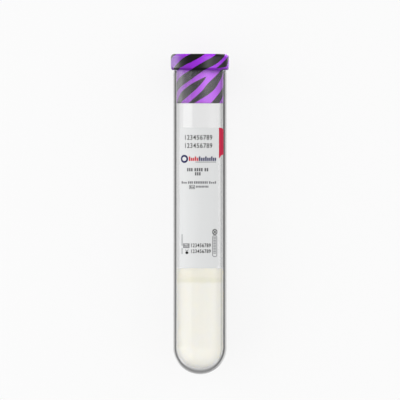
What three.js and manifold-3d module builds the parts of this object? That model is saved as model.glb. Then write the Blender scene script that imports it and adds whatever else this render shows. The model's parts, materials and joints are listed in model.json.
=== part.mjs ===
// A blood collection tube: a round-bottomed glass tube with a printed rubber stopper, separator gel in its
// bottom, and a paper label and a small sticker on its outside.
// Millimetres, +Z up. The tube lies on its side with its stopper towards +Y and its label facing +Z.
// Each piece is first made along +Y, with y = 0 at the outside of the tube's round bottom.

import * as THREE from "three";
import { mergeVertices } from "three/addons/utils/BufferGeometryUtils.js";
import Module from "manifold-3d";

// Glass tube
const tubeDiameter = 17.0;
const tubeWall = 1.06;
const tubeLength = 95.8; // outer bottom to rim
const tubeBottomWall = 1.84; // at the middle of the round bottom
const rimRound = 1.1; // height of the fire-polished rounding of the rim

// Rubber stopper
const flangeOverhang = 0.725; // past the glass all round
const flangeHeight = 5.2;
const flangeTopRound = 1.05;
const flangeLowerRound = 0.5;
const plugLength = 10.6; // below the flange
const plugChamfer = 0.3;
const wellDiameter = 5.6; // needle well in the top
const wellDepth = 2.0;
const hollowDiameter = 6.6; // hollow in the end of the plug
const hollowDepth = 5.0;
const hollowRound = 0.6;
const plugClearance = 0.15; // between the plug and the bore, on each side
const seatClearance = 0.2; // between the flange and the rim

// Separator gel
const gelTop = 33.4; // where it meets the bore
const gelDishDepth = 4.2;
const gelRim = 0.45; // thickness of the gel's upper edge
const gelClearance = 0.1; // to the glass all round

// Paper label
const labelDrop = 18.0; // from the rim down to its top edge
const labelHeight = 44.5;
const labelWidth = 13.62; // round the tube
const labelTurn = -2.65; // its middle from the top of the lying tube, in degrees towards +X
const labelThickness = 0.1;
const labelCorner = 1.3; // radius of the two lower corners

// Red sticker beside the label
const stickerGap = 0.12; // from the label's edge, round the tube
const stickerHeight = 9.66;
const stickerWidth = 2.3; // round the tube
const stickerFlat = 0.7; // level part of its top edge, round the tube
const stickerSlope = 0.65; // how far the rest of its top edge slopes down
const stickerTail = 1.4; // how far its inner edge hangs below its outer one

// Label and sticker
const paperClearance = 0.05; // to the glass

const facets = 40; // round every turned piece, a multiple of 4
const arcSteps = 4; // half the flats in each rounded corner
const paperStep = 9; // degrees in each flat of the label and the sticker

const wasm = await Module();
wasm.setup();

const glassMaterial = new THREE.MeshStandardMaterial({
  color: "#e4e6e6",
  roughness: 0.05,
  metalness: 0,
  transparent: true,
  opacity: 0.3,
});
const rubberMaterial = new THREE.MeshStandardMaterial({ color: "#9a38dd", roughness: 0.5, metalness: 0 });
const gelMaterial = new THREE.MeshStandardMaterial({ color: "#f1f0e3", roughness: 0.35, metalness: 0 });
const paperMaterial = new THREE.MeshStandardMaterial({ color: "#e2e3e3", roughness: 0.7, metalness: 0 });
const stickerMaterial = new THREE.MeshStandardMaterial({ color: "#ca2f4b", roughness: 0.6, metalness: 0 });

const tubeRadius = tubeDiameter / 2;
const boreRadius = tubeRadius - tubeWall;
const boreBottom = tubeBottomWall + boreRadius; // where the bore's round bottom begins
const paperRadius = (tubeRadius + paperClearance) / Math.cos(THREE.MathUtils.degToRad(paperStep / 2));
const labelRadius = paperRadius + labelThickness;
const labelTop = tubeLength - labelDrop;

// A closed outline turned round the tube's axis, with a flat facet facing straight down.
function turned(name, outline, material) {
  const geometry = new THREE.LatheGeometry(outline.getPoints(arcSteps), facets, Math.PI / facets);
  const mesh = new THREE.Mesh(geometry, material);
  mesh.name = name;
  return mesh;
}

function glassTube() {
  const outline = new THREE.Path();
  outline.moveTo(0, 0);
  outline.absarc(0, tubeRadius, tubeRadius, -Math.PI / 2, 0);
  outline.lineTo(tubeRadius, tubeLength - rimRound);
  outline.absellipse(tubeRadius - tubeWall / 2, tubeLength - rimRound, tubeWall / 2, rimRound, 0, Math.PI);
  outline.lineTo(boreRadius, boreBottom);
  outline.absarc(0, boreBottom, boreRadius, 0, -Math.PI / 2, true);
  return turned("glass_tube", outline, glassMaterial);
}

function stopper() {
  const seat = tubeLength + seatClearance;
  const top = seat + flangeHeight;
  const plugEnd = seat - plugLength;
  const plugRadius = boreRadius - plugClearance;
  const flangeRadius = tubeRadius + flangeOverhang;
  const hollowRadius = hollowDiameter / 2;
  const hollowTop = plugEnd + hollowDepth;
  const outline = new THREE.Path();
  outline.moveTo(0, hollowTop);
  outline.lineTo(hollowRadius - hollowRound, hollowTop);
  outline.absarc(hollowRadius - hollowRound, hollowTop - hollowRound, hollowRound, Math.PI / 2, 0, true);
  outline.lineTo(hollowRadius, plugEnd);
  outline.lineTo(plugRadius - plugChamfer, plugEnd);
  outline.lineTo(plugRadius, plugEnd + plugChamfer);
  outline.lineTo(plugRadius, seat);
  outline.lineTo(flangeRadius - flangeLowerRound, seat);
  outline.absarc(flangeRadius - flangeLowerRound, seat + flangeLowerRound, flangeLowerRound, -Math.PI / 2, 0);
  outline.lineTo(flangeRadius, top - flangeTopRound);
  outline.absarc(flangeRadius - flangeTopRound, top - flangeTopRound, flangeTopRound, 0, Math.PI / 2);
  outline.lineTo(wellDiameter / 2, top);
  outline.lineTo(wellDiameter / 2, top - wellDepth);
  outline.lineTo(0, top - wellDepth);
  return turned("stopper", outline, rubberMaterial);
}

function separatorGel() {
  const radius = boreRadius - gelClearance;
  const dishRadius = radius - gelRim;
  const outline = new THREE.Path();
  outline.moveTo(0, boreBottom - radius);
  outline.absarc(0, boreBottom, radius, -Math.PI / 2, 0);
  outline.lineTo(radius, gelTop);
  outline.lineTo(dishRadius, gelTop);
  outline.absellipse(0, gelTop, dishRadius, gelDishDepth, 0, -Math.PI / 2, true);
  return turned("separator_gel", outline, gelMaterial);
}

// A strip of the paper's curved section, between two angles from +Z towards +X, hanging down from its top edge.
function paperStrip(fromAngle, toAngle, top, height) {
  const start = Math.PI / 2 - toAngle;
  const end = Math.PI / 2 - fromAngle;
  const section = new THREE.Shape();
  section.absarc(0, 0, labelRadius, start, end);
  section.absarc(0, 0, paperRadius, end, start, true);
  const curveSegments = Math.ceil(THREE.MathUtils.radToDeg(toAngle - fromAngle) / paperStep);
  const geometry = new THREE.ExtrudeGeometry(section, { depth: height, bevelEnabled: false, curveSegments });
  geometry.rotateX(Math.PI / 2);
  geometry.translate(0, top, 0);
  return geometry;
}

// A flat outline in X and Y, drawn out along +Z through the paper.
function cutter(outline) {
  return new THREE.ExtrudeGeometry(outline, { depth: tubeDiameter, bevelEnabled: false });
}

function solid(geometry) {
  const bare = geometry.clone();
  bare.deleteAttribute("normal");
  bare.deleteAttribute("uv");
  const merged = mergeVertices(bare);
  const vertProperties = new Float32Array(merged.attributes.position.array);
  const triVerts = new Uint32Array(merged.index.array);
  return new wasm.Manifold(new wasm.Mesh({ numProp: 3, vertProperties, triVerts }));
}

// The paper that lies inside an outline seen from straight above.
function trimmedPaper(name, strip, outline, material) {
  const cut = solid(strip).intersect(solid(cutter(outline))).getMesh();
  const geometry = new THREE.BufferGeometry();
  geometry.setAttribute("position", new THREE.BufferAttribute(cut.vertProperties, 3));
  geometry.setIndex(new THREE.BufferAttribute(cut.triVerts, 1));
  geometry.computeVertexNormals();
  const mesh = new THREE.Mesh(geometry, material);
  mesh.name = name;
  return mesh;
}

const labelMiddle = THREE.MathUtils.degToRad(labelTurn);
const labelStart = labelMiddle - labelWidth / labelRadius / 2;
const labelEnd = labelMiddle + labelWidth / labelRadius / 2;

function label() {
  const margin = 0.02; // the outline's sides stand this far clear of the paper's edges
  const left = labelRadius * Math.sin(labelStart) - margin;
  const right = labelRadius * Math.sin(labelEnd) + margin;
  const bottom = labelTop - labelHeight;
  const leftCorner = labelCorner * Math.cos(labelStart);
  const rightCorner = labelCorner * Math.cos(labelEnd);
  const outline = new THREE.Shape();
  outline.moveTo(left, labelTop + margin);
  outline.lineTo(left, bottom + labelCorner);
  outline.absellipse(left + leftCorner, bottom + labelCorner, leftCorner, labelCorner, Math.PI, Math.PI * 1.5);
  outline.absellipse(right - rightCorner, bottom + labelCorner, rightCorner, labelCorner, -Math.PI / 2, 0);
  outline.lineTo(right, labelTop + margin);
  const strip = paperStrip(labelStart, labelEnd, labelTop, labelHeight);
  return trimmedPaper("label", strip, outline, paperMaterial);
}

function sideSticker() {
  const start = labelEnd + stickerGap / labelRadius;
  const end = start + stickerWidth / labelRadius;
  const inner = labelRadius * Math.sin(start);
  const outer = labelRadius * Math.sin(end);
  const flatEnd = labelRadius * Math.sin(start + stickerFlat / labelRadius);
  const bottom = labelTop - stickerHeight;
  const beyond = labelRadius; // past the sticker's outer edge
  const outline = new THREE.Shape();
  outline.moveTo(0, labelTop);
  outline.lineTo(flatEnd, labelTop);
  outline.lineTo(outer, labelTop - stickerSlope);
  outline.lineTo(beyond, labelTop - stickerSlope);
  outline.lineTo(beyond, bottom + stickerTail);
  outline.lineTo(outer, bottom + stickerTail);
  outline.lineTo(inner, bottom);
  outline.lineTo(0, bottom);
  const strip = paperStrip(start, end, labelTop + stickerTail, stickerHeight + stickerTail * 2);
  return trimmedPaper("side_sticker", strip, outline, stickerMaterial);
}

// The tube rests on the flange's lower edge and on the glass where its round bottom begins, so its axis rises
// a little towards the stopper.
function layDown(tube) {
  const flangeContact = tubeLength + seatClearance + flangeLowerRound;
  const rise = flangeOverhang * Math.cos(Math.PI / facets);
  tube.rotation.x = Math.atan(rise / (flangeContact - tubeRadius));
  const box = new THREE.Box3().setFromObject(tube, true);
  const middle = box.getCenter(new THREE.Vector3());
  tube.position.set(-middle.x, -middle.y, -box.min.z);
}

const bloodCollectionTube = new THREE.Group();
bloodCollectionTube.name = "blood_collection_tube";
bloodCollectionTube.add(glassTube(), stopper(), separatorGel(), label(), sideSticker());
layDown(bloodCollectionTube);

export default bloodCollectionTube;
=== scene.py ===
# A glass blood collection tube lying on a table: round-bottomed glass, a zebra-printed rubber stopper,
# separator gel, a paper label with plain printing, and a red sticker.
# Each piece is modelled upright in millimetres, with the outside of the round bottom at the origin and the
# label towards -Y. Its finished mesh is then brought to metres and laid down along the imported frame.
import json
import math

import bmesh
import bpy
from mathutils import Matrix, Vector


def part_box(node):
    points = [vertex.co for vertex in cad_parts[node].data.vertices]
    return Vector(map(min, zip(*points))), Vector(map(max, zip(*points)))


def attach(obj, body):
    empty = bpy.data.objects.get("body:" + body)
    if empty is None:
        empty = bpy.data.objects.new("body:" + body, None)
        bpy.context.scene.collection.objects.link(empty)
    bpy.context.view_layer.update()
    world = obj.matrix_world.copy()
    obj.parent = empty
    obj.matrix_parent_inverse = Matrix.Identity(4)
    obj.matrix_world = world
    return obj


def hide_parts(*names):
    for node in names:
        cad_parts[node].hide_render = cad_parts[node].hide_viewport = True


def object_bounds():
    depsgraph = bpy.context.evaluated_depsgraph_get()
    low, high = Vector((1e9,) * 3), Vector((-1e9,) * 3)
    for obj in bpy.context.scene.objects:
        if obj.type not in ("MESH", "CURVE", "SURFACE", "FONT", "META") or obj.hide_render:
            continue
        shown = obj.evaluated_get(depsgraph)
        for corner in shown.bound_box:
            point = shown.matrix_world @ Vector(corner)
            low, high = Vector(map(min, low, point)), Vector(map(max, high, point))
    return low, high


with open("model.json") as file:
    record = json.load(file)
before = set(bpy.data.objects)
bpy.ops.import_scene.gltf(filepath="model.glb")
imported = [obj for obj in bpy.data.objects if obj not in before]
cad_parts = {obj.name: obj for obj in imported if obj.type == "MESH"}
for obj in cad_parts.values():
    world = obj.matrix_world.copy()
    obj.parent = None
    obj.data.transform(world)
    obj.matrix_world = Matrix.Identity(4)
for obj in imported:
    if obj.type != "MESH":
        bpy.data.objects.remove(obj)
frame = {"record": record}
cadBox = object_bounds()
mm = 0.001
tiny = 0.01  # mm, for picking vertices by their place
levelFace = 0.9  # a face is level when its normal is at least this much up or down

# The tube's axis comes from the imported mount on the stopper's top, and its foot from the glass.
mount = frame["record"]["mounts"][0]
axis = Vector(mount["axis"])
topCentre = Vector((0, mount["pos_m"][1], mount["pos_m"][2]))
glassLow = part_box("glass_tube")[0]
closedLength = (topCentre.y - glassLow.y) / axis.y / mm
foot = topCentre - axis * closedLength * mm
layAngle = math.atan2(axis.z, axis.y) - math.pi / 2
layDown = Matrix.Translation(foot) @ Matrix.Rotation(layAngle, 4, "X") @ Matrix.Scale(mm, 4)


# Small tools

def linear(hexColour):
    channels = [int(hexColour[i:i + 2], 16) / 255 for i in (1, 3, 5)]
    return [c / 12.92 if c <= 0.04045 else ((c + 0.055) / 1.055) ** 2.4 for c in channels] + [1]


def objectMode():
    if bpy.context.mode != "OBJECT":
        bpy.ops.object.mode_set(mode="OBJECT")


def newPiece(name, primitive, **settings):
    objectMode()
    bpy.ops.object.select_all(action="DESELECT")
    primitive(**settings)
    piece = bpy.context.object
    piece.name = piece.data.name = name
    return piece


def applyPlace():
    bpy.ops.object.transform_apply(location=True, rotation=True, scale=True)


def editAll(piece, kind="VERT"):
    bpy.context.view_layer.objects.active = piece
    if bpy.context.mode != "EDIT_MESH":
        bpy.ops.object.mode_set(mode="EDIT")
    bpy.ops.mesh.select_mode(type=kind)
    bpy.ops.mesh.select_all(action="SELECT")


def pick(piece, kind, test):
    # Selects what passes the test: a vertex by its place, an edge by both its ends, a face by its middle and
    # its normal.
    editAll(piece, kind)
    bpy.ops.mesh.select_all(action="DESELECT")
    mesh = bmesh.from_edit_mesh(piece.data)
    if kind == "VERT":
        for vertex in mesh.verts:
            vertex.select_set(test(vertex.co))
    elif kind == "EDGE":
        for edge in mesh.edges:
            edge.select_set(test(edge.verts[0].co, edge.verts[1].co))
    else:
        for face in mesh.faces:
            face.select_set(test(face.calc_center_median(), face.normal))
    mesh.select_flush_mode()
    bmesh.update_edit_mesh(piece.data)


def pickRing(piece, radius, level):
    def onRing(point):
        return near(point.z, level) and near(reach(point), radius)
    pick(piece, "EDGE", lambda a, b: onRing(a) and onRing(b))


def extrude(x, y, z):
    bpy.ops.mesh.extrude_region_move(TRANSFORM_OT_translate={"value": (x, y, z)})


def reach(point):
    return math.hypot(point.x, point.y)  # distance from the tube's axis


def near(a, b):
    return abs(a - b) < tiny


def join(pieces, name):
    objectMode()
    bpy.ops.object.select_all(action="DESELECT")
    for piece in pieces:
        piece.select_set(True)
    bpy.context.view_layer.objects.active = pieces[0]
    if len(pieces) > 1:
        bpy.ops.object.join()
    pieces[0].name = pieces[0].data.name = name
    return pieces[0]


def addNode(tree, kind, inputs=None, **settings):
    node = tree.nodes.new(kind)
    for name, value in settings.items():
        setattr(node, name, value)
    for name, value in (inputs or {}).items():
        if isinstance(value, bpy.types.Node):
            value = value.outputs[0]
        if isinstance(value, bpy.types.NodeSocket):
            tree.links.new(value, node.inputs[name])
        else:
            node.inputs[name].default_value = value
    return node


def newMaterial(name):
    material = bpy.data.materials.new(name)
    material.use_nodes = True
    material.node_tree.nodes.clear()
    return material, material.node_tree


def tubePlace(tree):
    # object coordinates turned back to the upright tube, in millimetres
    place = addNode(tree, "ShaderNodeTexCoord").outputs["Object"]
    return addNode(
        tree, "ShaderNodeMapping",
        {"Vector": place, "Location": foot, "Rotation": (layAngle, 0, 0), "Scale": (mm, mm, mm)},
        vector_type="TEXTURE")


def turnFromLabel(tree, split):
    # how far round the tube a point is from the label's side, in radians
    front = addNode(tree, "ShaderNodeMath", {0: split.outputs["Y"], 1: -1.0}, operation="MULTIPLY")
    return addNode(tree, "ShaderNodeMath", {0: split.outputs["X"], 1: front}, operation="ARCTAN2")


def setRamp(node, stops):
    # stops are (position, grey or colour), in order
    ramp = node.color_ramp
    ramp.elements[0].position, ramp.elements[1].position = stops[0][0], stops[-1][0]
    for position, colour in stops[1:-1]:
        ramp.elements.new(position)
    for element, (position, colour) in zip(ramp.elements, stops):
        element.color = colour if isinstance(colour, list) else (colour, colour, colour, 1)


def finishPiece(piece, body, material=None, node=None, smoothAngle=40):
    objectMode()
    bpy.ops.object.select_all(action="DESELECT")
    piece.select_set(True)
    bpy.context.view_layer.objects.active = piece
    bpy.ops.object.shade_smooth_by_angle(angle=math.radians(smoothAngle))
    piece.data.transform(layDown)
    if material:
        piece.data.materials.append(material)
    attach(piece, body)
    if node:
        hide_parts(node)
    print("made", piece.name, len(piece.data.polygons), "faces")


# Glass tube

glass = {
    "radius": 8.5,
    "wall": 1.06,
    "length": 95.8,
    "bottomWall": 1.84,
    "rimRound": 1.1,  # how far down from its top the rim is round
    "rimRise": 0.12,  # how much the fire-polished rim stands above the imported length
    "segments": 128,
    "rings": 64,
    "rimCuts": 9,
    "smoothAngle": 80,
    "gloss": 0.02,  # mirrored share of light, face on
    "glossRise": 5.0,  # the power by which that share grows towards the edge
    "roughness": 0.03,
    # what passes one wall, from face on to edge on: partly real loss at a slant, and partly painted shade,
    # the dark lines near the edges that refraction would give
    "outerTintAndShade": [
        (0.00, 0.97), (0.16, 0.97), (0.29, 0.95), (0.335, 0.93), (0.38, 0.86), (0.43, 0.90),
        (0.475, 0.77), (0.54, 0.40), (0.57, 0.13), (0.61, 0.19), (0.665, 0.72), (0.71, 0.63), (0.80, 0.84),
    ],
    # and at the thicker round bottom, with more painted shade towards its outline
    "bottomTintAndShade": [
        (0.00, 0.97), (0.25, 0.95), (0.35, 0.83), (0.42, 0.70), (0.47, 0.58), (0.53, 0.42),
        (0.60, 0.35), (0.67, 0.42), (0.75, 0.45), (0.85, 0.5),
    ],
    "bottomFrom": 4.5,  # height where the bottom's begins to take over, and where it has
    "bottomTo": 1.2,
    "shadedSide": 0.03,  # painted shade: the dark edge lines are drawn a little further in on one side, so that side reads darker
    "shadeLine": 52.0,  # painted shade: a faint dark lengthwise line down the wall, in degrees round from the label's side
    "shadeLineWidth": 2.2,
    "shadeLineDepth": 0.45,
    "rimFrom": 0.6,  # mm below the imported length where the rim's look begins, and where it is full
    "rimTo": 0.2,
    "rimClear": 0.7,  # how far the fire-polished rim trades the wall's shade for its own painted shade, and loses its gloss
    # painted shade on the rim, by how far it is to either side of the axis, from the bore's radius to the
    # glass's: it suits the view from above, and from other sides it shows as short dark dashes
    "paintedRimShade": [(0.0, 1.0), (0.15, 0.2), (0.4, 0.25), (0.75, 0.95)],
    "paler": 0.12,  # how far the wall loses its shade towards the round bottom
    "palerFrom": 90.0,
    "palerTo": 20.0,
    "boreTint": 0.95,
    "boreGloss": 0.06,
    "boreRoughness": 0.01,
    "wettedGloss": 0.005,
}
boreRadius = glass["radius"] - glass["wall"]


def thimble(name, radius, bottom, top):
    # a round-bottomed sleeve, open at its top
    belt = bottom + radius
    piece = newPiece(
        name, bpy.ops.mesh.primitive_uv_sphere_add, segments=glass["segments"], ring_count=glass["rings"],
        radius=radius, location=(0, 0, belt))
    applyPlace()
    pick(piece, "VERT", lambda point: point.z > belt + tiny)
    bpy.ops.mesh.delete(type="VERT")
    pickRing(piece, radius, belt)
    extrude(0, 0, top - belt)
    objectMode()
    return piece


def outerGlass():
    # Borosilicate glass, drawn: light goes straight through, less where the wall is seen edge on, under a
    # sharp gloss. Its dark edge lines are partly painted shade, and its darker side, a dark line down it and
    # the dark sides of its rim are painted shade.
    material, tree = newMaterial("borosilicateGlass")
    place = addNode(tree, "ShaderNodeSeparateXYZ", {"Vector": tubePlace(tree)})
    facing = addNode(tree, "ShaderNodeLayerWeight", {"Blend": 0.5}).outputs["Facing"]
    # painted shade: the facing is shifted by the sideways place, so one side of the wall reads darker
    shadedSide = addNode(
        tree, "ShaderNodeMath",
        {0: place.outputs["X"], 1: glass["shadedSide"] / glass["radius"], 2: facing}, operation="MULTIPLY_ADD")
    # the side and bottom tints hold painted shade as well as the glass's own loss
    sideTintAndShade = addNode(tree, "ShaderNodeValToRGB", {"Fac": shadedSide})
    setRamp(sideTintAndShade, glass["outerTintAndShade"])
    bottomTintAndShade = addNode(tree, "ShaderNodeValToRGB", {"Fac": facing})
    setRamp(bottomTintAndShade, glass["bottomTintAndShade"])
    low = addNode(
        tree, "ShaderNodeMapRange",
        {"Value": place.outputs["Z"], "From Min": glass["bottomFrom"], "From Max": glass["bottomTo"]},
        interpolation_type="SMOOTHSTEP")
    bodyTintAndShade = addNode(
        tree, "ShaderNodeMix", {"Factor": low, 6: sideTintAndShade, 7: bottomTintAndShade}, data_type="RGBA").outputs[2]
    paler = addNode(
        tree, "ShaderNodeMapRange",
        {"Value": place.outputs["Z"], "From Min": glass["palerFrom"], "From Max": glass["palerTo"],
         "To Max": glass["paler"]})
    wallTintAndShade = addNode(
        tree, "ShaderNodeMix", {"Factor": paler, 6: bodyTintAndShade, 7: (1, 1, 1, 1)}, data_type="RGBA").outputs[2]
    # painted shade on the rim's sides, by how far they lie to either side of the axis
    aside = addNode(tree, "ShaderNodeMath", {0: place.outputs["X"]}, operation="ABSOLUTE")
    acrossRim = addNode(
        tree, "ShaderNodeMapRange", {"Value": aside, "From Min": boreRadius, "From Max": glass["radius"]})
    paintedRimShade = addNode(tree, "ShaderNodeValToRGB", {"Fac": acrossRim})
    setRamp(paintedRimShade, glass["paintedRimShade"])
    rim = addNode(
        tree, "ShaderNodeMapRange",
        {"Value": place.outputs["Z"], "From Min": glass["length"] - glass["rimFrom"],
         "From Max": glass["length"] - glass["rimTo"], "To Max": glass["rimClear"]},
        interpolation_type="SMOOTHSTEP")
    tintAndShade = addNode(
        tree, "ShaderNodeMix", {"Factor": rim, 6: wallTintAndShade, 7: paintedRimShade}, data_type="RGBA").outputs[2]
    # painted shade: a dark lengthwise line down the straight wall, kept off the round bottom
    turn = turnFromLabel(tree, place)
    offLine = addNode(
        tree, "ShaderNodeMath", {0: turn, 1: math.radians(glass["shadeLine"])}, operation="SUBTRACT")
    fromLine = addNode(tree, "ShaderNodeMath", {0: offLine}, operation="ABSOLUTE")
    line = addNode(
        tree, "ShaderNodeMapRange",
        {"Value": fromLine, "From Min": 0, "From Max": math.radians(glass["shadeLineWidth"]),
         "To Min": 1 - glass["shadeLineDepth"], "To Max": 1.0}, interpolation_type="SMOOTHSTEP")
    onBottom = addNode(
        tree, "ShaderNodeMapRange",
        {"Value": place.outputs["Z"], "From Min": glass["radius"], "From Max": glass["radius"] / 2})
    lineHere = addNode(tree, "ShaderNodeMath", {0: line, 1: onBottom}, operation="MAXIMUM")
    lined = addNode(tree, "ShaderNodeVectorMath", {0: tintAndShade, 1: lineHere}, operation="MULTIPLY")
    through = addNode(tree, "ShaderNodeBsdfTransparent", {"Color": lined})
    gloss = addNode(
        tree, "ShaderNodeBsdfAnisotropic", {"Color": (1, 1, 1, 1), "Roughness": glass["roughness"]})
    rise = addNode(tree, "ShaderNodeMath", {0: facing, 1: glass["glossRise"]}, operation="POWER")
    bodyShare = addNode(
        tree, "ShaderNodeMath", {0: rise, 1: 1 - glass["gloss"], 2: glass["gloss"]}, operation="MULTIPLY_ADD")
    offRim = addNode(tree, "ShaderNodeMath", {0: 1.0, 1: rim}, operation="SUBTRACT")
    share = addNode(tree, "ShaderNodeMath", {0: bodyShare, 1: offRim}, operation="MULTIPLY")
    shader = addNode(tree, "ShaderNodeMixShader", {0: share, 1: through, 2: gloss})
    addNode(tree, "ShaderNodeOutputMaterial", {"Surface": shader})
    return material


def boreGlass():
    # The inner face of the same wall where it meets air: a second sharp gloss, stronger on the label's side.
    material, tree = newMaterial("borosilicateGlassBore")
    place = addNode(tree, "ShaderNodeSeparateXYZ", {"Vector": tubePlace(tree)})
    share = addNode(
        tree, "ShaderNodeMapRange",
        {"Value": place.outputs["Y"], "From Min": -boreRadius, "From Max": boreRadius,
         "To Min": glass["boreGloss"], "To Max": 0.0}, interpolation_type="SMOOTHSTEP")
    through = addNode(tree, "ShaderNodeBsdfTransparent", {"Color": [glass["boreTint"]] * 3 + [1]})
    gloss = addNode(
        tree, "ShaderNodeBsdfAnisotropic", {"Color": (1, 1, 1, 1), "Roughness": glass["boreRoughness"]})
    shader = addNode(tree, "ShaderNodeMixShader", {0: share, 1: through, 2: gloss})
    addNode(tree, "ShaderNodeOutputMaterial", {"Surface": shader})
    return material


def wettedGlass():
    # The inner face where rubber or gel lies against it: no air gap, so hardly any gloss of its own.
    material, tree = newMaterial("borosilicateGlassWetted")
    through = addNode(tree, "ShaderNodeBsdfTransparent", {"Color": (1, 1, 1, 1)})
    gloss = addNode(
        tree, "ShaderNodeBsdfAnisotropic", {"Color": (1, 1, 1, 1), "Roughness": glass["roughness"]})
    shader = addNode(tree, "ShaderNodeMixShader", {0: glass["wettedGloss"], 1: through, 2: gloss})
    addNode(tree, "ShaderNodeOutputMaterial", {"Surface": shader})
    return material


def makeGlass():
    rimStart = glass["length"] + glass["rimRise"] - glass["rimRound"]
    rimMiddle = (glass["radius"] + boreRadius) / 2
    outside = thimble("glassOutside", glass["radius"], 0, rimStart)
    bore = thimble("glassBore", boreRadius, glass["bottomWall"], rimStart)
    tube = join([outside, bore], "glassTube")

    # the fire-polished rim joins the outside and the bore
    pick(tube, "EDGE", lambda a, b: near(a.z, rimStart) and near(b.z, rimStart))
    bpy.ops.mesh.bridge_edge_loops(
        number_cuts=glass["rimCuts"], interpolation="SURFACE",
        smoothness=glass["rimRound"] / (glass["wall"] / 2))
    editAll(tube)
    bpy.ops.mesh.normals_make_consistent(inside=False)

    # the bore is cut where the gel and the plug end, because between them it meets air
    plugEnd = seat - stopper["plugLength"]
    for level in (gel["top"], plugEnd):
        editAll(tube)
        bpy.ops.mesh.bisect(plane_co=(0, 0, level), plane_no=(0, 0, 1))
    belt = glass["bottomWall"] + boreRadius

    def onBore(middle, normal):
        if middle.z > rimStart:
            return reach(middle) < rimMiddle
        inwards = Vector((middle.x, middle.y, min(0, middle.z - belt)))
        return inwards.length < boreRadius + tiny

    def airBacked(middle, normal):
        return onBore(middle, normal) and gel["top"] < middle.z < plugEnd

    for material in (outerGlass(), wettedGlass(), boreGlass()):
        tube.data.materials.append(material)
    for i, test in ((1, onBore), (2, airBacked)):
        pick(tube, "FACE", test)
        tube.active_material_index = i
        bpy.ops.object.material_slot_assign()
    finishPiece(tube, "tube", node="glass_tube", smoothAngle=glass["smoothAngle"])


# Rubber stopper

stopper = {
    "flangeRadius": 9.225,
    "flangeHeight": 5.08,
    "seatGap": 0.2,  # between its flange and the glass as drawn
    "topRound": 1.05,
    "edgeDrop": 0.65,  # the lower edge of the flange slopes in above its level underside
    "edgeIn": 0.45,
    "edgeRound": 0.12,
    "plugRadius": boreRadius - 0.04,
    "plugLength": 10.47,
    "plugChamfer": 0.15,
    "wellRadius": 2.8,
    "wellDepth": 2.0,
    "hollowRadius": 3.3,
    "hollowDepth": 5.0,
    "hollowRound": 0.6,
    "lipRound": 0.2,
    "segments": 192,
    "rows": 20,
    "purple": "#952dcf",
    # painted light: the plug's colours are the rubber's own painted paler, for the veil that the glass lays
    # over them
    "plugPurplePaintedPale": "#b860e5",
    "black": "#0c0c0d",
    "plugBlackPaintedPale": "#3f3f40",
    "flangeBand": 5.2,  # height of the print on the flange, and on the plug
    "plugBand": 10.5,
    "taperStart": 0.6,  # mm in from the top's rounded edge, where the stripes start to narrow
    "taper": 5.5,  # degrees of each side lost for each mm
    "twist": 50,  # how far a stripe turns on the top, in degrees over one height of the band
    "stripeEdge": 0.7,  # half the width of a stripe's soft edge, in degrees
    "wander": 2.4,  # how far the print's edges wander, in degrees
    "wanderSize": 1.6,
    "flangeFrom": 0.15,  # mm below the flange where its own deeper colours begin over the plug's painted paler ones, and where they are full
    "flangeTo": 0.05,
    "roughness": 0.42,
    "roughnessRange": 0.05,
    "mottle": 3,  # mm across a patch of duller or shinier rubber
    "specular": 0.10,
    "grain": 0.25,  # a moulded skin's real grain is under 0.1 mm, drawn as coarse as it needs to show
    "grainBump": 0.12,
    "grainDepth": 0.02,
}
seat = glass["length"] + stopper["seatGap"]
stopperTop = seat + stopper["flangeHeight"]

# Zebra stripes: each has its left edge and its width, in degrees round from the label's side, at evenly
# spaced heights from the bottom of its band to the top.
flangeStripes = [
    ((-135, -122, -104, -84), (23, 27, 28, 28)),
    ((-70, -54, -37.5, -18), (18, 26.5, 32.5, 30)),
    ((-18.5, -1.5, 18, 38.5), (27.5, 33.5, 31, 27)),
    ((28, 36.5, 44.8, 53.5, 63.5, 75, 86), (-22, 20.5, 23.5, 19.5, 14, 8, 2)),
    ((51, 60, 90, 90), (23, -60, -60, -60)),
    ((92, 105, 112, 122), (16, 24, 30, 32)),
    ((140, 158, 172, 185), (26, 30, 27, 22)),
    ((196, 214, 226, 238), (12, 10, 10, 16)),
]
plugStripes = [
    ((-165, -120, -75, -24), (40, 41, 47, 34)),
    ((-78, -52, -8, 50), (22, 34, 17, -25)),
    ((-30, 2, 26, 63), (15, 27, 31, 23)),
    ((27, 58, 100, 140), (28, 28, 22, 25)),
    ((88, 122, 152, 190), (16, 26, 30, 24)),
    ((135, 175, 208, 240), (30, 24, 30, 30)),
]


def along(values, share):
    # a smooth curve through evenly spaced values, from share 0 to share 1
    place = min(max(share, 0), 1) * (len(values) - 1)
    i = min(int(place), len(values) - 2)
    t = place - i
    a, b = values[i], values[i + 1]
    before = values[i - 1] if i > 0 else 2 * a - b
    after = values[i + 2] if i + 2 < len(values) else 2 * b - a
    straight = (b - before) * t
    bend = (2 * before - 5 * a + 4 * b - after) * t ** 2
    swing = (3 * a - before - 3 * b + after) * t ** 3
    return a + (straight + bend + swing) / 2


def stripeDepth(turn, share, stripes):
    # degrees inside the nearest stripe, negative outside it
    best = -90
    for left, width in stripes:
        fromLeft = (turn - along(left, share) + 180) % 360 - 180
        best = max(best, min(fromLeft, along(width, share) - fromLeft))
    return best


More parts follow.
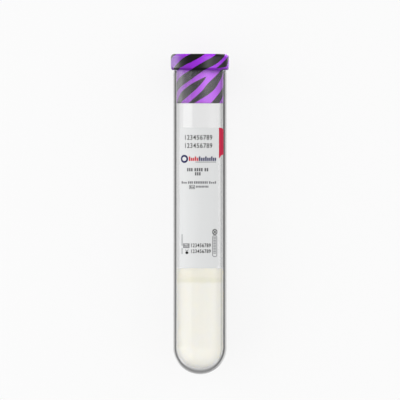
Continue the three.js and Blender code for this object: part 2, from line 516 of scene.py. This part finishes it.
def printStripes(piece):
    # The print runs up the flange, over its top edge and tapers off, and separately up the plug.
    depth = piece.data.attributes.new("stripeDepth", "FLOAT", "POINT")
    edgeReach = stopper["flangeRadius"] - stopper["topRound"]
    halfway = seat + stopper["flangeHeight"] / 2
    for vertex in piece.data.vertices:
        point = vertex.co
        turn = math.degrees(math.atan2(point.x, -point.y))
        onPlug = point.z < seat + tiny and reach(point) < stopper["plugRadius"] + tiny
        if onPlug:
            share = 1 - (seat - point.z) / stopper["plugBand"]
            depth.data[vertex.index].value = stripeDepth(turn, share, plugStripes)
        else:
            overTop = max(0, edgeReach - reach(point)) if point.z > halfway else 0
            share = (point.z - seat + overTop) / stopper["flangeBand"]
            turn -= max(0, share - 1) * stopper["twist"]
            taper = max(0, overTop - stopper["taperStart"]) * stopper["taper"]
            depth.data[vertex.index].value = stripeDepth(turn, share, flangeStripes) - taper


def printedRubber():
    # Butyl rubber, moulded, with a two-colour print: a soft sheen, a fine skin and a slightly ragged print
    # edge. On the plug inside the glass both colours are painted paler, painted light for the veil that the
    # glass lays over them.
    material, tree = newMaterial("printedButylRubber")
    place = tubePlace(tree)
    depth = addNode(tree, "ShaderNodeAttribute", attribute_name="stripeDepth").outputs["Fac"]
    ragged = addNode(
        tree, "ShaderNodeTexNoise", {"Vector": place, "Scale": 1 / stopper["wanderSize"], "Detail": 2})
    centred = addNode(tree, "ShaderNodeMath", {0: ragged, 1: 0.5}, operation="SUBTRACT")
    shifted = addNode(
        tree, "ShaderNodeMath", {0: centred, 1: stopper["wander"], 2: depth}, operation="MULTIPLY_ADD")
    stripe = addNode(
        tree, "ShaderNodeMapRange",
        {"Value": shifted, "From Min": -stopper["stripeEdge"], "From Max": stopper["stripeEdge"]})
    height = addNode(tree, "ShaderNodeSeparateXYZ", {"Vector": place}).outputs["Z"]
    # the plug, inside the glass, takes the painted paler colours
    onFlange = addNode(
        tree, "ShaderNodeMapRange",
        {"Value": height, "From Min": seat - stopper["flangeFrom"], "From Max": seat - stopper["flangeTo"]})
    purple = addNode(
        tree, "ShaderNodeMix",
        {"Factor": onFlange, 6: linear(stopper["plugPurplePaintedPale"]), 7: linear(stopper["purple"])},
        data_type="RGBA")
    black = addNode(
        tree, "ShaderNodeMix",
        {"Factor": onFlange, 6: linear(stopper["plugBlackPaintedPale"]), 7: linear(stopper["black"])},
        data_type="RGBA")
    colour = addNode(
        tree, "ShaderNodeMix", {"Factor": stripe, 6: purple.outputs[2], 7: black.outputs[2]},
        data_type="RGBA").outputs[2]
    mottle = addNode(
        tree, "ShaderNodeTexNoise", {"Vector": place, "Scale": 1 / stopper["mottle"], "Detail": 3})
    middle, vary = stopper["roughness"], stopper["roughnessRange"]
    roughness = addNode(
        tree, "ShaderNodeMapRange", {"Value": mottle, "To Min": middle - vary, "To Max": middle + vary})
    grain = addNode(tree, "ShaderNodeTexNoise", {"Vector": place, "Scale": 1 / stopper["grain"], "Detail": 2})
    bump = addNode(
        tree, "ShaderNodeBump",
        {"Height": grain, "Strength": stopper["grainBump"], "Distance": stopper["grainDepth"] * mm})
    shader = addNode(
        tree, "ShaderNodeBsdfPrincipled",
        {"Base Color": colour, "Roughness": roughness, "Normal": bump,
         "Specular IOR Level": stopper["specular"]})
    addNode(tree, "ShaderNodeOutputMaterial", {"Surface": shader})
    return material


def makeStopper():
    wide, plugRadius = stopper["flangeRadius"], stopper["plugRadius"]
    wellRadius, hollowRadius = stopper["wellRadius"], stopper["hollowRadius"]
    plugEnd = seat - stopper["plugLength"]
    hollowTop = plugEnd + stopper["hollowDepth"]
    edgeTop = seat + stopper["edgeDrop"]
    piece = newPiece(
        "rubberStopper", bpy.ops.mesh.primitive_cylinder_add, vertices=stopper["segments"],
        radius=wide, depth=stopperTop - edgeTop, location=(0, 0, (edgeTop + stopperTop) / 2))
    applyPlace()

    # needle well in the top
    pick(piece, "FACE", lambda middle, normal: normal.z > levelFace)
    bpy.ops.mesh.inset(thickness=wide - wellRadius)
    extrude(0, 0, -stopper["wellDepth"])

    # sloping edge, level underside, the plug, and the hollow in its end
    pick(piece, "FACE", lambda middle, normal: normal.z < -levelFace)
    bpy.ops.mesh.inset(thickness=stopper["edgeIn"])
    bpy.ops.transform.translate(value=(0, 0, -stopper["edgeDrop"]))
    bpy.ops.mesh.inset(thickness=wide - stopper["edgeIn"] - plugRadius)
    extrude(0, 0, plugEnd - seat)
    bpy.ops.mesh.inset(thickness=plugRadius - hollowRadius)
    extrude(0, 0, stopper["hollowDepth"])

    # rounded edges
    for radius, level, size, steps in (
        (wide, stopperTop, stopper["topRound"], 8),
        (wide, edgeTop, stopper["edgeRound"], 2),
        (wide - stopper["edgeIn"], seat, stopper["edgeRound"], 2),
        (plugRadius, plugEnd, stopper["plugChamfer"], 2),
        (hollowRadius, hollowTop, stopper["hollowRound"], 5),
        (hollowRadius, plugEnd, stopper["lipRound"], 3),
        (wellRadius, stopperTop, stopper["lipRound"], 3),
        (wellRadius, stopperTop - stopper["wellDepth"], stopper["lipRound"], 3),
    ):
        pickRing(piece, radius, level)
        bpy.ops.mesh.bevel(offset=size, segments=steps, affect="EDGES")

    # rows for the print, in the long edges up the sides and across the top
    longEdge = stopper["flangeHeight"] / 2
    pick(piece, "EDGE", lambda a, b: abs(a.z - b.z) > longEdge and reach(a) > plugRadius - tiny)
    bpy.ops.mesh.subdivide(number_cuts=stopper["rows"])
    pick(piece, "EDGE", lambda a, b: abs(reach(a) - reach(b)) > longEdge and min(a.z, b.z) > seat + longEdge)
    bpy.ops.mesh.subdivide(number_cuts=stopper["rows"])
    objectMode()
    printStripes(piece)
    finishPiece(piece, "stopper", printedRubber(), node="stopper")


# Separator gel

gel = {
    "gap": 0.03,  # between it and the glass
    "top": 33.75,
    "slant": 0.5,  # half the fall of its surface from the label's side to the back
    "rim": 0.45,  # level edge round its dished top
    "dishDepth": 4.2,
    "dishSteps": 10,
    "bandTop": 30.8,  # painted shade: a slightly darker, yellower band under the thin edge of the dish
    "bandFall": 1.2,  # how far the band's upper edge falls from the label's side to the flanks
    "bandBottom": 29.1,
    "bandSoft": 0.35,
    "bulk": "#f3f1e9",
    # painted shade: the thinner gel and the band are drawn a little darker than the bulk
    "thin": "#f0ede1",
    "band": "#ebe9da",
    "roughness": 0.3,
    "cloud": 4,  # mm across a patch of its faint unevenness
    "cloudShift": 0.6,  # how far that moves the band's edges
    "cloudBump": 0.1,
    "cloudDepth": 0.1,
    "seepDepth": 0.8,  # how far light seeps into it, red a little further than blue
    "seepColours": (1.0, 0.95, 0.8),
}


def milkyGel():
    # Thixotropic polymer gel: milky and slightly warm, wet and even. The thinner gel round its dish and a
    # band a little deeper and yellower round the dish's bottom are painted shade, for how light passes the
    # gel there.
    material, tree = newMaterial("separatorGel")
    place = tubePlace(tree)
    split = addNode(tree, "ShaderNodeSeparateXYZ", {"Vector": place})
    cloud = addNode(tree, "ShaderNodeTexNoise", {"Vector": place, "Scale": 1 / gel["cloud"], "Detail": 2})
    centred = addNode(tree, "ShaderNodeMath", {0: cloud, 1: 0.5}, operation="SUBTRACT")
    wavy = addNode(
        tree, "ShaderNodeMath", {0: centred, 1: gel["cloudShift"], 2: split.outputs["Z"]},
        operation="MULTIPLY_ADD")
    fall = gel["bandFall"]
    towardsFlank = addNode(
        tree, "ShaderNodeMath", {0: split.outputs["Y"], 1: fall / boreRadius, 2: fall},
        operation="MULTIPLY_ADD")
    raised = addNode(tree, "ShaderNodeMath", {0: wavy, 1: towardsFlank}, operation="ADD")
    soft = gel["bandSoft"]
    overBand = addNode(
        tree, "ShaderNodeMapRange",
        {"Value": raised, "From Min": gel["bandTop"] - soft, "From Max": gel["bandTop"] + soft})
    overBulk = addNode(
        tree, "ShaderNodeMapRange",
        {"Value": wavy, "From Min": gel["bandBottom"] - soft, "From Max": gel["bandBottom"] + soft})
    upper = addNode(
        tree, "ShaderNodeMix", {"Factor": overBand, 6: linear(gel["band"]), 7: linear(gel["thin"])},
        data_type="RGBA").outputs[2]
    colour = addNode(
        tree, "ShaderNodeMix", {"Factor": overBulk, 6: linear(gel["bulk"]), 7: upper},
        data_type="RGBA").outputs[2]
    bump = addNode(
        tree, "ShaderNodeBump",
        {"Height": cloud, "Strength": gel["cloudBump"], "Distance": gel["cloudDepth"] * mm})
    shader = addNode(
        tree, "ShaderNodeBsdfPrincipled",
        {"Base Color": colour, "Roughness": gel["roughness"], "Normal": bump, "Subsurface Weight": 1.0,
         "Subsurface Radius": gel["seepColours"], "Subsurface Scale": gel["seepDepth"] * mm})
    addNode(tree, "ShaderNodeOutputMaterial", {"Surface": shader})
    return material


def makeGel():
    radius = boreRadius - gel["gap"]
    piece = thimble("separatorGel", radius, glass["bottomWall"] + gel["gap"], gel["top"] + gel["slant"])
    editAll(piece)
    bpy.ops.mesh.bisect(
        plane_co=(0, 0, gel["top"] - gel["slant"]), plane_no=(0, gel["slant"] / radius, 1),
        use_fill=True, clear_outer=True)

    # its top is a dish, steeper towards the rim
    pick(piece, "FACE", lambda middle, normal: normal.z > levelFace)
    bpy.ops.mesh.inset(thickness=gel["rim"])
    dish = radius - gel["rim"]
    inward, depth = 0, 0
    for i in range(1, gel["dishSteps"] + 1):
        slope = math.pi / 2 * i / (gel["dishSteps"] + 1)
        step, drop = dish * (1 - math.cos(slope)) - inward, gel["dishDepth"] * math.sin(slope) - depth
        bpy.ops.mesh.inset(thickness=step)
        bpy.ops.transform.translate(value=(0, 0, -drop))
        inward, depth = inward + step, depth + drop
    editAll(piece)
    bpy.ops.mesh.normals_make_consistent(inside=False)
    finishPiece(piece, "tube", milkyGel(), node="separator_gel", smoothAngle=60)


# Paper label and red sticker, drawn flat: X round the tube from its highest line, Z up it, -Y outwards

label = {
    "top": 77.8,
    "height": 44.2,
    "width": 13.62,
    "turn": -2.65,  # its middle, in degrees round from the highest line
    "corner": 1.3,
    "thickness": 0.1,
    "glue": 0.02,
    "cornerSteps": 8,
    "column": 0.35,  # width of the flats that make its curve
    "white": "#d1d2d2",
    "deepWhite": "#cdcece",
    "fibre": 0.12,  # paper fibres are about 0.02 mm wide, drawn coarser so that they show
    "fibreBump": 0.15,
    "fibreDepth": 0.02,
    "roughness": 0.62,
    "roughnessRange": 0.06,
    "specular": 0.5,
}
paperFace = glass["radius"] + label["glue"] + label["thickness"]
labelMiddle = math.radians(label["turn"]) * paperFace
labelBottom = label["top"] - label["height"]

sticker = {
    "gap": 0.26,  # from the label
    "height": 9.66,
    "width": 2.18,
    "bend": 1.05,  # how far in from its inner edge the top and bottom edges bend
    "slope": 0.5,  # how far the top edge falls beyond the bend
    "tailBend": 1.0,  # how far the inner edge hangs below the bend
    "tail": 1.2,  # and below the outer edge
    "red": "#c02343",
    "deepRed": "#b7203e",
    # painted shade: how much of its red is left along a darker line where its edges bend, across its width
    "shadeAcross": [(0.0, 1.0), (0.36, 1.0), (0.47, 0.8), (0.6, 0.8), (0.72, 0.92)],
    "roughness": 0.5,
    "specular": 0.12,
}


def flatSheet(name, left, right, low, high, turn=0):
    # a flat rectangle facing the label's side, turned in its own plane if asked
    piece = newPiece(
        name, bpy.ops.mesh.primitive_plane_add, size=1,
        location=((left + right) / 2, 0, (low + high) / 2), rotation=(math.pi / 2, math.radians(turn), 0))
    piece.scale = (right - left, high - low, 1)
    applyPlace()
    return piece


def wrap(piece, thickness, radius):
    # gives a flat drawing its thickness inwards, and bends it round the tube with its outside at the radius
    editAll(piece, "FACE")
    extrude(0, thickness, 0)
    across = [vertex.co.x for vertex in bmesh.from_edit_mesh(piece.data).verts]
    low, high = min(across), max(across)
    columns = math.ceil((high - low) / label["column"])
    for i in range(1, columns):
        bpy.ops.mesh.select_all(action="SELECT")
        bpy.ops.mesh.bisect(plane_co=(low + (high - low) * i / columns, 0, 0), plane_no=(1, 0, 0))
    editAll(piece)
    bpy.ops.mesh.remove_doubles(threshold=tiny / 10)
    bpy.ops.mesh.normals_make_consistent(inside=False)
    objectMode()
    bend = piece.modifiers.new("bend", "SIMPLE_DEFORM")
    bend.deform_method = "BEND"
    bend.deform_axis = "Z"
    bend.angle = (high - low) / radius
    bpy.ops.object.modifier_apply(modifier=bend.name)
    piece.data.transform(Matrix.Translation((0, -radius, 0)))


def paper(name, deep, colour, roughness, specular, shadeAcross=None):
    # Coated label stock: even and matt, with a faint grain of fibres. Where asked, a painted shade line takes
    # away a little of its red across its width.
    material, tree = newMaterial(name)
    place = tubePlace(tree)
    fibres = addNode(
        tree, "ShaderNodeTexNoise",
        {"Vector": place, "Scale": 1 / label["fibre"], "Detail": 3, "Roughness": 0.6})
    tone = addNode(tree, "ShaderNodeValToRGB", {"Fac": fibres})
    setRamp(tone, [(0.3, linear(deep)), (0.7, linear(colour))])
    if shadeAcross:
        # painted shade: a darker line across the sticker's width
        left, right, stops = shadeAcross
        turn = turnFromLabel(tree, addNode(tree, "ShaderNodeSeparateXYZ", {"Vector": place}))
        across = addNode(
            tree, "ShaderNodeMapRange",
            {"Value": turn, "From Min": left / paperFace, "From Max": right / paperFace})
        shade = addNode(tree, "ShaderNodeValToRGB", {"Fac": across})
        setRamp(shade, [(position, [red, 1, 1, 1]) for position, red in stops])
        tone = addNode(tree, "ShaderNodeVectorMath", {0: tone, 1: shade}, operation="MULTIPLY")
    vary = label["roughnessRange"]
    rough = addNode(
        tree, "ShaderNodeMapRange", {"Value": fibres, "To Min": roughness - vary, "To Max": roughness + vary})
    bump = addNode(
        tree, "ShaderNodeBump",
        {"Height": fibres, "Strength": label["fibreBump"], "Distance": label["fibreDepth"] * mm})
    shader = addNode(
        tree, "ShaderNodeBsdfPrincipled",
        {"Base Color": tone, "Roughness": rough, "Normal": bump, "Specular IOR Level": specular})
    addNode(tree, "ShaderNodeOutputMaterial", {"Surface": shader})
    return material


def makeLabel():
    half = label["width"] / 2
    piece = flatSheet("paperLabel", labelMiddle - half, labelMiddle + half, labelBottom, label["top"])
    pick(piece, "VERT", lambda point: near(point.z, labelBottom))
    bpy.ops.mesh.bevel(offset=label["corner"], segments=label["cornerSteps"], affect="VERTICES")
    wrap(piece, label["thickness"], paperFace)
    material = paper(
        "coatedPaper", label["deepWhite"], label["white"], label["roughness"], label["specular"])
    finishPiece(piece, "tube", material, node="label")


def makeSticker():
    left = labelMiddle + label["width"] / 2 + sticker["gap"]
    right, bend = left + sticker["width"], left + sticker["bend"]
    top, bottom = label["top"], label["top"] - sticker["height"]
    piece = flatSheet("redSticker", left, right, bottom, top)
    editAll(piece)
    bpy.ops.mesh.bisect(plane_co=(bend, 0, 0), plane_no=(1, 0, 0))
    for x, z, rise in (
        (right, top, -sticker["slope"]),
        (right, bottom, sticker["tail"]),
        (bend, bottom, sticker["tailBend"]),
    ):
        pick(piece, "VERT", lambda point: near(point.x, x) and near(point.z, z))
        bpy.ops.transform.translate(value=(0, 0, rise))
    wrap(piece, label["thickness"], paperFace)
    material = paper(
        "redPrintedPaper", sticker["deepRed"], sticker["red"], sticker["roughness"], sticker["specular"],
        shadeAcross=(left, right, sticker["shadeAcross"]))
    finishPiece(piece, "tube", material, node="side_sticker")


# Printing on the label: plain counting digits, and bars where words would be

printing = {
    "thickness": 0.03,
    "proud": 0.02,  # how far its face stands out from the paper
    "spacing": 1.13,  # between digits
    "digitSteps": 4,  # cuts in each curve of a digit
    "cornerSteps": 6,
    "ringSteps": 32,
    "wordGap": 0.45,  # between the blocks of a word, and between words, as shares of a block
    "wordSpace": 1.3,
    "patch": 0.3,  # mm across a patch of thinner ink
    "thinInk": 0.85,
    "roughness": 0.7,
    "specular": 0.3,
    "denseBlack": "#0a0a0a",
    "black": "#0b0b0c",
    "signGrey": "#4c4c4d",
    "darkGrey": "#606061",
    "grey": "#767679",
    "paleGrey": "#8c8d8f",
    "navy": "#1e2052",
    "red": "#c42030",
}


def bar(left, right, low, high, turn=0):
    return flatSheet("bar", left, right, low, high, turn)


def blocks(left, right, low, high, counts, small=0.72):
    # a row of small blocks in place of words: every third one is full height, the rest may be smaller
    gap, space = printing["wordGap"], printing["wordSpace"]
    unit = (right - left) / (sum(counts) + gap * (sum(counts) - len(counts)) + space * (len(counts) - 1))
    made = []
    for count in counts:
        for i in range(count):
            height = (high - low) * (small if i % 3 else 1)
            made.append(bar(left, left + unit, low, low + height))
            left += unit * (1 + gap)
        left += unit * (space - gap)
    return made


def ladder(left, right, low, high, pitch, filled=0.6):
    # short bars, one above another
    steps = round((high - low) / pitch)
    return [bar(left, right, low + i * pitch, low + (i + filled) * pitch) for i in range(steps)]


def cross(x, z, size, line, turns):
    return [bar(x - size / 2, x + size / 2, z - line / 2, z + line / 2, turn) for turn in turns]


def ring(x, z, radiusX, radiusZ, line):
    piece = newPiece(
        "ring", bpy.ops.mesh.primitive_circle_add, vertices=printing["ringSteps"], radius=1,
        fill_type="NGON", location=(x, 0, z), rotation=(math.pi / 2, 0, 0))
    piece.scale = (radiusX, radiusZ, 1)
    applyPlace()
    return hollowed(piece, line)


def frameOutline(left, right, low, high, corner, line):
    piece = flatSheet("frame", left, right, low, high)
    if corner:
        editAll(piece)
        bpy.ops.mesh.bevel(offset=corner, segments=printing["cornerSteps"], affect="VERTICES")
    return hollowed(piece, line)


def hollowed(piece, line):
    # leaves an outline of the line's width, or the whole shape where that is 0
    if line:
        editAll(piece, "FACE")
        bpy.ops.mesh.inset(thickness=line)
        bpy.ops.mesh.delete(type="FACE")
    objectMode()
    return piece


def digits(left, right, low, high, bolder):
    # a row of counting digits in the plain built-in face, fitted to its place
    objectMode()
    bpy.ops.object.select_all(action="DESELECT")
    bpy.ops.object.text_add(rotation=(math.pi / 2, 0, 0))
    text = bpy.context.object
    text.data.body = "123456789"
    text.data.resolution_u = printing["digitSteps"]
    text.data.offset = bolder
    text.data.space_character = printing["spacing"]
    bpy.ops.object.convert(target="MESH")
    piece = bpy.context.object
    applyPlace()
    editAll(piece)
    bpy.ops.mesh.remove_doubles(threshold=0.0001)
    bpy.ops.mesh.dissolve_limited(angle_limit=math.radians(1))
    objectMode()
    corners = [Vector(corner) for corner in piece.bound_box]
    lowest, highest = Vector(map(min, *corners)), Vector(map(max, *corners))
    size = highest - lowest
    fit = Matrix.Diagonal(((right - left) / size.x, 1, (high - low) / size.z, 1))
    piece.data.transform(Matrix.Translation((left, 0, low)) @ fit @ Matrix.Translation(-lowest))
    return piece


def ink(name, colour):
    # Thermal or offset ink: dry and matt, a little uneven in tone.
    material, tree = newMaterial(name)
    patches = addNode(
        tree, "ShaderNodeTexNoise",
        {"Vector": tubePlace(tree), "Scale": 1 / printing["patch"], "Detail": 2})
    tone = addNode(tree, "ShaderNodeValToRGB", {"Fac": patches})
    full = linear(colour)
    setRamp(tone, [(0.3, [c * printing["thinInk"] for c in full[:3]] + [1]), (0.7, full)])
    shader = addNode(
        tree, "ShaderNodeBsdfPrincipled",
        {"Base Color": tone, "Roughness": printing["roughness"], "Specular IOR Level": printing["specular"]})
    addNode(tree, "ShaderNodeOutputMaterial", {"Surface": shader})
    return material


def makePrint(name, pieces, material):
    # joins the flat shapes of one ink and lays them on the paper
    piece = join(pieces, name)
    wrap(piece, printing["thickness"], paperFace + printing["proud"])
    finishPiece(piece, "tube", material, smoothAngle=30)


def makePrinting():
    # The places are on the label: round from the highest line, and up from the tube's foot, in millimetres.
    rows = [
        digits(-4.97, 3.99, 74.0, 75.54, 0.01),
        digits(-4.97, 3.99, 71.42, 72.95, 0.01),
        digits(-2.83, 3.46, 40.18, 41.43, 0.016),
        digits(-2.83, 3.46, 38.36, 39.55, 0.016),
    ]
    makePrint("numberRows", rows, ink("blackInk", printing["black"]))

    words = blocks(-4.24, 2.61, 64.09, 65.14, (3, 4, 2), small=1)
    words += blocks(-1.6, 0.17, 62.8, 63.81, (3,), small=1)
    words += blocks(-3.2, -1.9, 58.85, 59.5, (3,))
    words += blocks(-5.4, -3.75, 40.35, 41.05, (4,))
    makePrint("boldWords", words, ink("darkGreyInk", printing["darkGrey"]))

    words = blocks(-6.33, -4.40, 60.2, 60.97, (3,))
    words += blocks(-3.92, -2.32, 60.2, 60.97, (3,), small=1)
    words += blocks(-1.90, 2.45, 60.2, 60.97, (8,), small=1)
    words += blocks(2.92, 5.39, 60.2, 60.97, (4,))
    words += blocks(-1.25, 2.68, 58.95, 59.59, (9,), small=1)
    makePrint("smallWords", words, ink("greyInk", printing["grey"]))

    marks = ladder(-6.43, -5.87, 38.16, 39.96, 0.36)
    marks += ladder(-6.43, -5.87, 40.74, 44.27, 0.36)
    marks += ladder(4.4, 5.4, 38.2, 43.7, 0.5)
    marks.append(bar(-1.45, 5.39, 66.88, 67.12))
    makePrint("paleMarks", marks, ink("paleGreyInk", printing["paleGrey"]))

    sign = [ring(4.94, 45.0, 0.96, 0.96, 0.28)] + cross(4.94, 45.0, 1.5, 0.28, (45, -45))
    makePrint("roundSign", sign, ink("signInk", printing["signGrey"]))
    signs = [
        frameOutline(-3.52, -1.6, 58.52, 59.79, 0.2, 0.18),
        frameOutline(-5.75, -3.4, 39.96, 41.38, 0, 0.27),
        frameOutline(4.02, 5.79, 37.14, 43.96, 0.65, 0.2),
    ]
    signs += cross(-4.6, 39.2, 0.7, 0.2, (40,)) + cross(-4.05, 39.2, 0.7, 0.2, (-40,))
    makePrint("signs", signs, ink("signInk", printing["grey"]))
    makePrint("cornerDot", [ring(-4.33, 38.47, 0.53, 0.42, 0)], ink("denseBlackInk", printing["denseBlack"]))

    makePrint("markDisc", [ring(-5.27, 68.0, 1.4, 1.28, 0.6)], ink("navyInk", printing["navy"]))
    makePrint("markRed", blocks(-3.6, -0.55, 67.35, 68.75, (5,)), ink("redInk", printing["red"]))
    makePrint("markNavy", blocks(-0.35, 5.39, 67.35, 68.78, (9,)), ink("navyInk", printing["navy"]))


# Camera, light and table

studio = {
    "cameraHeight": 2.5,
    "cameraAhead": 4.37 * mm,  # the tube sits a little low in the frame
    "lens": 713,
    "lightDistance": 0.5,  # from the tube's axis to a panel's middle
    "panelLength": 1.2,
    "stopperPanel": 0.4,
    "floorSize": 6,
    "floorRoughness": 0.9,
    "world": 0.9,
    "worldFill": 0.25,  # what the same world gives as soft light
    "floorBase": 0.1,
    "floorGlow": 0.85,
    "floorFill": 0.2,
}


def makeCamera():
    low, high = cadBox
    middle = (low + high) / 2
    data = bpy.data.cameras.new("camera")
    data.lens = studio["lens"]
    data.sensor_width = 36
    data.clip_end = 20
    camera = bpy.data.objects.new("camera", data)
    camera.location = (middle.x, middle.y + studio["cameraAhead"], topCentre.z + studio["cameraHeight"])
    bpy.context.scene.collection.objects.link(camera)
    bpy.context.scene.camera = camera
    print("placed the camera")


def linkPieces(light, use, pieceNames, state):
    # names the pieces that a light shines on or that block it, or with EXCLUDE the ones that are left out
    chosen = bpy.data.collections.new(light.name + "Pieces")
    setattr(light.light_linking, use, chosen)
    for pieceName in pieceNames:
        chosen.objects.link(bpy.data.objects[pieceName])
    for entry in chosen.collection_objects:
        entry.light_linking.link_state = state


def softbox(
        name, fromAngle, toAngle, radiance, kind, only=(), without=(), through=(), ahead=0,
        length=studio["panelLength"], shadow=True):
    # A long panel, spanning two angles from straight up, right of the tube where they are positive. It lights
    # by gloss or by soft light, and may light some pieces only, leave some out, or shine through some. Ahead
    # moves it towards the stopper's end, by an angle seen from the tube.
    distance = studio["lightDistance"]
    middle, spread = math.radians((fromAngle + toAngle) / 2), math.radians(abs(toAngle - fromAngle) / 2)
    width = 2 * distance * math.tan(spread)
    data = bpy.data.lights.new(name, "AREA")
    data.shape = "RECTANGLE"
    data.size, data.size_y = width, length
    data.energy = radiance * math.pi * width * length
    data.use_shadow = shadow
    light = bpy.data.objects.new(name, data)
    light.location = (
        distance * math.sin(middle), distance * math.tan(math.radians(ahead)),
        topCentre.z + distance * math.cos(middle))
    light.rotation_euler = (0, middle, 0)
    bpy.context.scene.collection.objects.link(light)
    light.visible_camera = False
    light.visible_glossy = light.visible_transmission = kind == "gloss"
    light.visible_diffuse = kind == "soft"
    if only:
        linkPieces(light, "receiver_collection", only, "INCLUDE")
    if without:
        linkPieces(light, "receiver_collection", without, "EXCLUDE")
    if through:
        linkPieces(light, "blocker_collection", through, "EXCLUDE")


def stopperBox(name, fromAngle, toAngle, radiance, kind="gloss", **settings):
    softbox(
        name, fromAngle, toAngle, radiance, kind, only=["rubberStopper"], length=studio["stopperPanel"],
        **settings)


def makeStudio():
    world = bpy.data.worlds.new("studio")
    world.use_nodes = True
    tree = world.node_tree
    background = tree.nodes["Background"]
    background.inputs["Color"].default_value = (1, 1, 1, 1)
    path = addNode(tree, "ShaderNodeLightPath").outputs["Is Diffuse Ray"]
    strength = addNode(
        tree, "ShaderNodeMapRange", {"Value": path, "To Min": studio["world"], "To Max": studio["worldFill"]})
    tree.links.new(strength.outputs[0], background.inputs["Strength"])
    bpy.context.scene.world = world
    bpy.context.scene.view_settings.view_transform = "Standard"

    # soft light on the glass, the paper and the print, and the bright strip in the bore
    softbox("boreGlow", -37, -95, 1.5, "gloss", only=["glassTube"])
    ownLights = ["rubberStopper", "separatorGel"]
    softbox("leftFill", -100, -40, 2.2, "soft", without=ownLights)
    softbox("topFill", -40, 40, 0.57, "soft", without=ownLights)
    softbox("rightFill", 40, 100, 1.7, "soft", without=ownLights)

    # the milky gel
    gelOnly, underPaper = ["separatorGel"], ["paperLabel"]
    softbox("gelLeft", -100, -40, 1.3, "soft", only=gelOnly, through=underPaper, ahead=-20)
    softbox("gelTop", -40, 40, 0.9, "soft", only=gelOnly, through=underPaper, ahead=-25)
    softbox("gelRight", 40, 100, 1.38, "soft", only=gelOnly, through=underPaper)

    # the stopper: the pale sheen down its left side, a narrow one right of its middle, and light on its rims
    stopperBox("stopperEdge", -96, -125, 17.0, through=["table", "rubberStopper"], ahead=15)
    stopperBox("stopperFade", -58, -94, 2.4, through=["rubberStopper"])
    stopperBox("stopperGlow", 24, 42, 25.0)
    stopperBox("stopperSide", 44, 112, 5.4)
    stopperBox("stopperBrim", -128, -162, 2.5, through=["table"], ahead=20)
    stopperBox("stopperRim", 146, 172, 5.0, through=["table"], ahead=20)
    stopperBox("stopperKey", -15, 55, 7.4, kind="soft", ahead=42, shadow=False)
    print("made the lights")


def makeTable():
    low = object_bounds()[0]
    table = newPiece(
        "table", bpy.ops.mesh.primitive_plane_add, size=studio["floorSize"], location=(0, 0, low.z))
    # A pale, faintly lit studio table, so that the tube's own shadow stays soft.
    material, tree = newMaterial("paleTable")
    base = studio["floorBase"]
    path = addNode(tree, "ShaderNodeLightPath").outputs["Is Diffuse Ray"]
    glow = addNode(
        tree, "ShaderNodeMapRange",
        {"Value": path, "To Min": studio["floorGlow"], "To Max": studio["floorFill"]})
    shader = addNode(
        tree, "ShaderNodeBsdfPrincipled",
        {"Base Color": (base, base, base, 1), "Roughness": studio["floorRoughness"],
         "Specular IOR Level": 0.0, "Emission Color": (1, 1, 1, 1), "Emission Strength": glow})
    addNode(tree, "ShaderNodeOutputMaterial", {"Surface": shader})
    table.data.materials.append(material)
    print("laid the table")


makeCamera()
makeGlass()
makeStopper()
makeGel()
makeLabel()
makeSticker()
makePrinting()
makeTable()
makeStudio()
